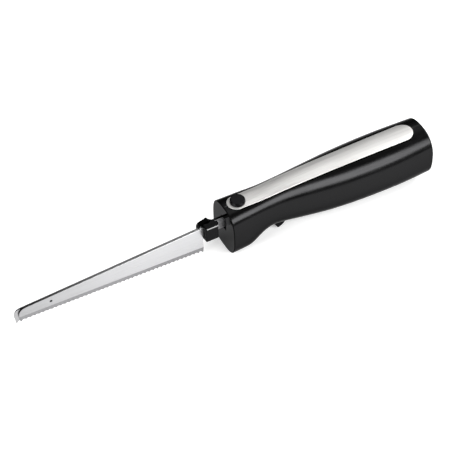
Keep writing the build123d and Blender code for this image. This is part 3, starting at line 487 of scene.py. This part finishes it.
def strip_body(name, grow, top, bottom, edge=0.0, ns=260, nv=24, flat_top=None):
    """Body between two copies of the handle's top surface inside the strip's outline."""
    ss = []
    for k in range(ns + 1):
        t = k / ns
        ss.append(t)
    rings = []
    levels = [(-grow, bottom)]
    if edge:
        for k in range(5):
            b = math.radians(90 * k / 4)
            levels.append((-grow + edge * (1 - math.cos(b)), top - edge * (1 - math.sin(b))))
    else:
        levels.append((-grow, top))
    verts, faces = [], []

    def add(x, y, off):
        z = flat_top if (flat_top is not None and off == top) else surf_z(x, y, 0.0) + off
        verts.append((x, y, z))
        return len(verts) - 1
    ring_ids = []
    for d, off in levels:
        up = [stadium(s, d) for s in ss]
        ids_up = [add(x, y, off) for x, y in up]
        ids_dn = [ids_up[0]] + [add(x, -y, off) for x, y in up[1:-1]] + [ids_up[-1]]
        ring_ids.append((ids_up, ids_dn))
    for (u0, d0), (u1, d1) in zip(ring_ids[:-1], ring_ids[1:]):
        for i in range(ns):
            faces.append((u0[i], u0[i + 1], u1[i + 1], u1[i]))
            faces.append((d0[i + 1], d0[i], d1[i], d1[i + 1]))
    for (d, off), (ids_up, ids_dn) in ((levels[0], ring_ids[0]), (levels[-1], ring_ids[-1])):
        rows = [ids_up]
        for j in range(1, nv):
            lam = 1 - 2 * j / nv
            row = [ids_up[0]]
            for s in ss[1:-1]:
                x, y = stadium(s, d)
                row.append(add(x, y * lam, off))
            row.append(ids_up[-1])
            rows.append(row)
        rows.append(ids_dn)
        for a, b in zip(rows[:-1], rows[1:]):
            for i in range(ns):
                f = tuple(dict.fromkeys((a[i], a[i + 1], b[i + 1], b[i])))
                if len(f) > 2:
                    faces.append(f)
    return new_object(name, verts, faces)


def make_housing(side, name, body, node):
    shell = outer_half(side)
    inner = inner_half(side)
    if side > 0:
        bosses = [cylinder("y", sx, sz, 4.6, -3, 30, 48) for sx, sz in SCREWS]
        boolean(inner, bosses)
    boolean(shell, [inner])
    cuts = [
        box_object(-1, WALL + 1.2, -4.7, 4.7, 2.0, 15.1),
        box_object(43.4, 65.6, -(TRIG_W + 0.4), TRIG_W + 0.4, -30, -4.6),
        cylinder("z", BUTTON_X, 0, BUTTON_R + 0.35, 19.5, 50),
        strip_body("cut", STRIP_GAP, 6.0, -(STRIP_T - STRIP_PROUD) - 0.02, ns=200, nv=12),
        cylinder("x", 0, GLAND_Z, 6.02, 200, 215),
    ]
    if side > 0:
        for sx, sz in SCREWS:
            cuts.append(cylinder("y", sx, sz, 3.2, 6.0, 42, 64))
    boolean(shell, cuts)
    shell.name = name
    smooth(shell, 30)
    give(shell, M_BODY, body, node)
    shell.data.materials.append(M_FACE)
    shell.data.materials.append(M_SLOT_RIM_SHADE)
    for p in shell.data.polygons:
        x, z = p.center.x * 1000 - OX, p.center.z * 1000 - OZ
        # painted light: faces pointing forward take the lighter front-face copy
        if p.normal.x < -0.98 and x < 0.2:
            p.material_index = 1
        # painted shade: the front rim and the slot walls take the near-black copy
        elif x < RIM_F + 0.1 or 0 < x < 8 and abs(p.center.y) < 0.0085 and -2 < z < 18:
            p.material_index = 2
    return shell


make_housing(-1, "shell_near", "handle", "housing_left")
make_housing(1, "shell_far", "handle", "housing_right")

# brushed strip let into the top
strip = strip_body("top_strip_plate", 0.0, STRIP_PROUD, -(STRIP_T - STRIP_PROUD), edge=0.22)
boolean(strip, [cylinder("z", BUTTON_X, 0, BUTTON_R + 0.25, 10, 50, 128)])
smooth(strip, 30)
uv = strip.data.uv_layers.new(name="UVMap")
for loop in strip.data.loops:
    co = strip.data.vertices[loop.vertex_index].co
    uv.data[loop.index].uv = (co.x * 4 + 0.5, co.y * 4 + 0.5)
give(strip, M_STRIP, "handle", "top_strip")

# ---------------------------------------------------------------------------
# release button
# ---------------------------------------------------------------------------
CAP_R, CAP_TOP = BUTTON_R + 0.03, BUTTON_TOP + 0.02
prof = [(0.0, 24.75), (6.6, 24.75), (CAP_R, 24.9), (CAP_R, CAP_TOP - 0.9)]
for k in range(1, 9):
    b = math.radians(90 * k / 8)
    prof.append((CAP_R - 0.9 * (1 - math.cos(b)), CAP_TOP - 0.9 + 0.9 * math.sin(b)))
for k in range(1, 9):
    r = (CAP_R - 0.9) * (1 - k / 8)
    prof.append((r, CAP_TOP + 0.1 * (1 - (r / (CAP_R - 0.9)) ** 2)))
cap = lathe("button_cap", BUTTON_X, 0.0, prof)
smooth(cap, 30)
give(cap, M_CTRL, "button")

# coil spring under the button, its lower end on the housing and its upper end on the button
SP_Z0, SP_Z1, SP_R, SP_WIRE, SP_TURNS = 18.72, 28.38, 3.9, 0.35, 5
sp_rings = []
for k in range(SP_TURNS * 36 + 1):
    a = 2 * math.pi * k / 36
    rise = (SP_Z1 - SP_Z0 - 2 * SP_WIRE) / (SP_TURNS * 2 * math.pi)
    c = Vector((BUTTON_X + SP_R * math.cos(a), SP_R * math.sin(a), SP_Z0 + SP_WIRE + rise * a))
    t = Vector((-SP_R * math.sin(a), SP_R * math.cos(a), rise)).normalized()
    n = Vector((math.cos(a), math.sin(a), 0))
    b = t.cross(n)
    sp_rings.append([tuple(c + SP_WIRE * (n * math.cos(2 * math.pi * i / 12) + b * math.sin(2 * math.pi * i / 12))) for i in range(12)])
coil = rings_object("button_spring_coil", sp_rings)
smooth(coil, 40)
coil.data.materials.clear()
coil.data.materials.append(fine_steel)
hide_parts("button_spring")
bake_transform(coil)

# ---------------------------------------------------------------------------
# trigger
# ---------------------------------------------------------------------------
def curve(pts, count):
    """Smooth curve through points, by chord length."""
    p = np.array(pts, float)
    d = np.concatenate([[0], np.cumsum(np.linalg.norm(np.diff(p, axis=0), axis=1))])
    fx, fz = spline_table(d, p[:, 0]), spline_table(d, p[:, 1])
    return [(float(fx(u)), float(fz(u))) for u in np.linspace(0, d[-1], count)]


rear = curve([(63.6, -9.4), (62.8, -13.8), (60.6, -17.6), (57.6, -20.1), (55.2, -21.05)], 22)
lip = curve([(55.2, -21.05), (54.1, -21.05), (53.2, -20.3)], 8)
front = curve([(53.2, -20.3), (50.6, -16.2), (47.6, -13.4), (44.4, -11.8)], 20)
tprof = [(44.25, -4.4), (48.6, -4.1), (50.5, -4.1), (56.0, -5.0), (62.4, -6.9)] + rear + lip[1:] + front[1:]
ringsT = []
steps = [(0.0, 1.15)]
for k in range(1, 7):
    b = math.radians(90 * k / 6)
    steps.append((1.15 * (1 - math.cos(b)), 1.15 * (1 - math.sin(b))))
for off, inn in steps:
    ringsT.append([(x, -TRIG_W + off, z) for x, z in inset_poly(tprof, inn)])
for y in np.linspace(-TRIG_W + 1.6, TRIG_W - 1.6, 9):
    ringsT.append([(x, float(y), z) for x, z in tprof])
for off, inn in reversed(steps):
    ringsT.append([(x, TRIG_W - off, z) for x, z in inset_poly(tprof, inn)])
trig = rings_object("trigger_lever", ringsT)
smooth(trig, 40)
give(trig, M_CTRL, "trigger", "trigger")

# ---------------------------------------------------------------------------
# blades
# ---------------------------------------------------------------------------
def edge_z(x):
    return TIP_BOT + (HEEL_BOT - TIP_BOT) * (x - TIP_X) / (HEEL_X - TIP_X)


def spine_z(x):
    a = (TIP_X + 6.6, TIP_TOP + 0.10)
    return a[1] + (HEEL_TOP - a[1]) * (x - a[0]) / (HEEL_X - a[0])


NOSE = curve([(TIP_X + 6.6, TIP_TOP + 0.10), (TIP_X + 2.6, TIP_TOP - 0.75), (TIP_X + 0.3, TIP_TOP - 3.1), (TIP_X - 0.7, -1.8), (TIP_X - 0.5, -6.0), (TIP_X, TIP_BOT - 0.2)], 200)
nose_i = min(range(len(NOSE)), key=lambda i: NOSE[i][0])
NOSE_UP = sorted(NOSE[:nose_i + 1])
NOSE_DN = sorted(NOSE[nose_i:])
NX0 = NOSE[nose_i][0]


def top_z(x):
    if x >= TIP_X + 6.6:
        return spine_z(x)
    return float(np.interp(x, [p[0] for p in NOSE_UP], [p[1] for p in NOSE_UP]))


TEETH_N = int(round((HEEL_X - 1.2 - (TIP_X + 1.5)) / TOOTH_PITCH))
TX0, TX1 = TIP_X + 1.5, HEEL_X - 1.2
PITCH = (TX1 - TX0) / TEETH_N


def tooth(x):
    """0 at a tooth's point, 1 in the middle of a scallop."""
    if x <= TX0 or x >= TX1:
        return 0.0
    u = ((x - TX0) / PITCH) % 1.0
    return 1 - (2 * u - 1) ** 2


def low_z(x):
    if x < TIP_X:
        return float(np.interp(x, [p[0] for p in NOSE_DN], [p[1] for p in NOSE_DN]))
    base = edge_z(x) - 0.2 * max(0.0, 1 - (x - TIP_X) / 1.5)
    return base + TOOTH_DEPTH * tooth(x) ** 0.5


def make_blade(side, dx, name, body, node):
    xs = [NX0 + 1.2 * (k / 14) ** 2 for k in range(15)]
    xs += [xs[-1] + (TX0 - xs[-1]) * k / 3 for k in (1, 2)]
    xs += [TX0 + PITCH * (k + u) for k in range(TEETH_N) for u in (0.0, 0.02, 0.07, 0.16, 0.3, 0.5, 0.7, 0.84, 0.93, 0.98)]
    xs += [TX1, TX1 + 0.6, HEEL_X]
    offs = [0.0, 0.25, 0.6, 1.1, 1.8, 2.6, 3.5, 4.4, 5.4, 6.4, 7.4, 8.0]
    front, back = [], []
    y0, y1 = side * BLADE_GAP, side * (BLADE_GAP + BLADE_T)
    for x in xs:
        zb, zt = low_z(x), top_z(x)
        hgt = max(zt - zb, 1e-3)
        ref = edge_z(max(x, TIP_X))
        tt = tooth(x)
        low = ref + 0.02 + BEVEL_H - zb
        zs = [zb + min(o * low / 7.4, hgt * 0.6 * o / 8.0) for o in offs]
        zs += [zs[-1] + (zt - 0.45 - zs[-1]) * k / 9 for k in range(1, 10)] if zt - 0.45 > zs[-1] else [zs[-1]] * 9
        zs.append(max(zt - 0.12, zs[-1]))
        zs.append(max(zt, zs[-1]))
        col = []
        for k, z in enumerate(zs):
            off = z - ref
            t = min(BLADE_T, max(0.20, 0.22 + (BLADE_T - 0.22) * off / BEVEL_H))
            # hollow ground scallops
            t -= 0.34 * tt * max(0.0, 1 - max(off - TOOTH_DEPTH, 0) / 4.6)
            t = max(t, 0.14)
            if k == len(zs) - 2:
                t = min(t, BLADE_T - 0.03)
            if k == len(zs) - 1:
                t = min(t, BLADE_T - 0.12)
            col.append((x + dx, y0 + side * t, z))
        front.append(col)
        back.append([(x + dx, y0, z) for z in zs])
    n = len(front[0])
    rings = [f + list(reversed(b)) for f, b in zip(front, back)]
    ob = rings_object(name, rings)
    tang = [(HEEL_X - 6, TANG_Z0), (12.8, TANG_Z0), (12.8, TANG_Z0 + 2.2), (16.4, TANG_Z0 + 2.2), (16.4, TANG_Z0), (TANG_END - 2, TANG_Z0), (TANG_END, TANG_Z0 + 2),
            (TANG_END, TANG_Z1 - 2), (TANG_END - 2, TANG_Z1), (HEEL_X + 2.5, TANG_Z1), (HEEL_X - 0.0, HEEL_TOP - 0.3), (HEEL_X - 6, HEEL_TOP - 1.0)]
    tg = rings_object("cut", [[(x + dx, y, z) for x, z in tang] for y in (y0, y1)])
    boolean(ob, [tg], "UNION")
    if side < 0:
        boolean(ob, [cylinder("y", -174.5 + REST, -0.1, 1.0, -1.25, 0.3, 48)])
    else:
        cut = [box_object(-172.5 - 10.0, -172.5 + 2.0, -0.5, 3, -0.1 - 1.35, -0.1 + 1.35)]
        cut += [cylinder("y", -182.5, -0.1, 1.35, -0.5, 3, 48), cylinder("y", -170.5, -0.1, 1.35, -0.5, 3, 48), cylinder("y", -185.9, -0.1, 2.5, -0.5, 3, 48)]
        boolean(ob, cut)
    smooth(ob, 28, weighted=False)
    ob.data.materials.clear()
    ob.data.materials.append(M_BLADE)
    ob.data.materials.append(M_EDGE)
    ob.data.materials.append(M_SPINE)
    ob.data.materials.append(M_NOSE_SHADE)
    for p in ob.data.polygons:
        c = p.center
        px, pz = c.x * 1000 - OX - dx, c.z * 1000 - OZ
        if px < HEEL_X and pz < edge_z(px) + BEVEL_H and abs(p.normal.y) > 0.3 and p.normal.y * side > 0:
            p.material_index = 1
        # painted shadow: the near blade's nose edge takes the near-black steel
        elif side < 0 and px < TIP_X + 5.0 and p.normal.x < -0.25 and abs(p.normal.y) < 0.85:
            p.material_index = 3
        elif p.normal.z > 0.85 and px < HEEL_X + 1.0:
            p.material_index = 2
    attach(ob, body)
    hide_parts(node)
    return ob


make_blade(-1, REST, "blade_near", "left_drive", "blade_left")
make_blade(1, -REST, "blade_far", "right_drive", "blade_right")

# ---------------------------------------------------------------------------
# collars
# ---------------------------------------------------------------------------
cx = HEEL_X + REST
sec_l = round_poly([(-0.2, -0.4), (-7.3, 0.7), (-8.1, 1.4), (-8.1, 16.1), (-7.3, 17.0), (-0.2, 17.0)], [0.3, 1.2, 1.2, 0.8, 0.8, 0.3], 5)
rows = []
for k in range(7):
    b = math.radians(90 - 15 * k)
    rows.append((0.9 * (1 - math.sin(b)), 0.9 * (1 - math.cos(b))))
rows += [(2.0, 0), (4, 0), (7, 0), (10, 0), (11.6, 0)]
for k in range(5):
    b = math.radians(90 * k / 4)
    rows.append((12.4 - 0.5 * (1 - math.sin(b)), 0.5 * (1 - math.cos(b))))
ringsC = [[(cx + x, y, z) for y, z in inset_poly(sec_l, i)] for x, i in rows]
col_l = rings_object("collar_near", ringsC)
neck = round_poly([(-0.24, 3.6), (-3.3, 3.6), (-3.3, 15.4), (-0.24, 15.4)], [0.2, 0.6, 0.6, 0.2], 4)
nk = rings_object("cut", [[(cx + x, y, z) for y, z in inset_poly(neck, i)] for x, i in ((11.5, 0), (14.4, 0), (14.7, 0.12), (14.8, 0.35))])
boolean(col_l, [nk], "UNION")
boolean(col_l, [box_object(cx + 0.9, cx + 13.0, -8.4, -7.2, 16.33, 17.4)])
smooth(col_l, 30)
give(col_l, M_COLLAR, "left_drive", "collar_left")

cx = HEEL_X - REST
side_pts = [(cx, 1.6), (cx, 13.2), (cx + 1.1, 15.9), (cx + 3.4, 17.0), (cx + 8.6, 18.3), (cx + 9.4, 19.2), (cx + 10.9, 18.6), (cx + 13.4, 13.9), (cx + 15.5, 13.9), (cx + 15.5, 1.6)]
far = round_poly(side_pts, [1.0, 2.0, 1.6, 1.6, 1.2, 0.7, 0.8, 0.9, 0.2, 0.6], 6)
ringsF = [[(x, 0.2, z) for x, z in far]]
for y in (1.5, 3.0, 4.4):
    ringsF.append([(x, y, z) for x, z in far])
for k in range(1, 7):
    b = math.radians(15 * k)
    ringsF.append([(x, 5.3 - 0.8 * (1 - math.sin(b)), z) for x, z in inset_poly(far, 0.8 * (1 - math.cos(b)))])
col_r = rings_object("collar_far", ringsF)
boolean(col_r, [box_object(cx + 13.0, 4.6, 0.2, 4.3, 4.0, 13.9)], "UNION")
smooth(col_r, 30)
give(col_r, M_COLLAR, "right_drive", "collar_right")

# head of the rivet that joins the blade tips
rv = []
for r, y in ((0.0, -1.54), (0.8, -1.52), (1.2, -1.46), (1.32, -1.36), (1.0, -1.34), (1.0, -0.4), (1.0, 1.5), (2.05, 1.52), (2.2, 1.7), (2.1, 2.0), (1.7, 2.1), (0.0, 2.1)):
    r = max(r, 1e-4)
    rv.append([(-174.5 + REST + r * math.cos(2 * math.pi * i / 48), y, -0.1 + r * math.sin(2 * math.pi * i / 48)) for i in range(48)])
rivet = rings_object("rivet_head", rv)
smooth(rivet, 30)
give(rivet, M_RIVET, "left_drive", "tip_rivet")

# ---------------------------------------------------------------------------
# floor, light, camera
# ---------------------------------------------------------------------------
def stage_plane(name, size, z):
    me = bpy.data.meshes.new(name)
    me.from_pydata([(-size, -size, z), (size, -size, z), (size, size, z), (-size, size, z)], [], [(0, 1, 2, 3)])
    ob = bpy.data.objects.new(name, me)
    bpy.context.scene.collection.objects.link(ob)
    return ob


fm = Mat("pale_floor")
fm.link(fm.mix(fm.noise(3.0, detail=3.0), (0.84, 0.84, 0.84), (0.86, 0.86, 0.86)), fm.b.inputs["Base Color"])
fm.set(Roughness=0.9)
fm.b.inputs["Emission Color"].default_value = (1, 1, 1, 1)
fm.b.inputs["Emission Strength"].default_value = 0.38
floor = stage_plane("floor", 6.0, cad_box[0].z - 0.0004)
floor.data.materials.append(fm.m)


def area(name, direction, distance, size, power, target=(0.03, 0.0, 0.03), spin=0.0):
    d = Vector(direction).normalized()
    li = bpy.data.lights.new(name, "AREA")
    li.shape, li.size, li.size_y, li.energy = "RECTANGLE", size[0], size[1], power
    ob = bpy.data.objects.new(name, li)
    ob.location = Vector(target) + d * distance
    ob.rotation_mode = "QUATERNION"
    ob.rotation_quaternion = (-d).to_track_quat("-Z", "Y")
    bpy.context.scene.collection.objects.link(ob)
    return ob


area("key", (0.36, -0.76, 0.56), 1.5, (0.9, 0.80), 21.0)
area("far_panel", (0.28, 0.40, 0.87), 1.5, (0.64, 1.1), 2.25, target=(0.05, 0.0, 0.05))
area("tip_end", (-0.82, -0.14, 0.56), 1.6, (0.9, 0.8), 19.0)
area("cord_end", (0.84, 0.10, 0.54), 1.6, (0.9, 0.8), 19.0)

world = bpy.data.worlds.new("studio")
bpy.context.scene.world = world
world.use_nodes = True
world.node_tree.nodes["Background"].inputs["Color"].default_value = (1, 1, 1, 1)
world.node_tree.nodes["Background"].inputs["Strength"].default_value = 0.16

AZ, EL, ROLL = math.radians(-27.262), math.radians(46.664), math.radians(1.688)
back = Vector((math.sin(AZ) * math.cos(EL), -math.cos(AZ) * math.cos(EL), math.sin(EL)))
right = Vector((math.cos(AZ), math.sin(AZ), 0))
up = back.cross(right)
r2 = right * math.cos(ROLL) - up * math.sin(ROLL)
u2 = right * math.sin(ROLL) + up * math.cos(ROLL)
cam_data = bpy.data.cameras.new("camera")
cam_data.sensor_width, cam_data.lens = 36.0, 127.342
cam_data.clip_start, cam_data.clip_end = 0.05, 50
cam = bpy.data.objects.new("camera", cam_data)
m = Matrix((r2, u2, back)).transposed().to_4x4()
m.translation = Vector((0.002128, 0.0, 0.022367)) + back * 1.46463
cam.matrix_world = m
bpy.context.scene.collection.objects.link(cam)
bpy.context.scene.camera = cam

bpy.context.scene.view_settings.view_transform = "Standard"
bpy.context.scene.view_settings.look = "None"

bpy.context.view_layer.update()
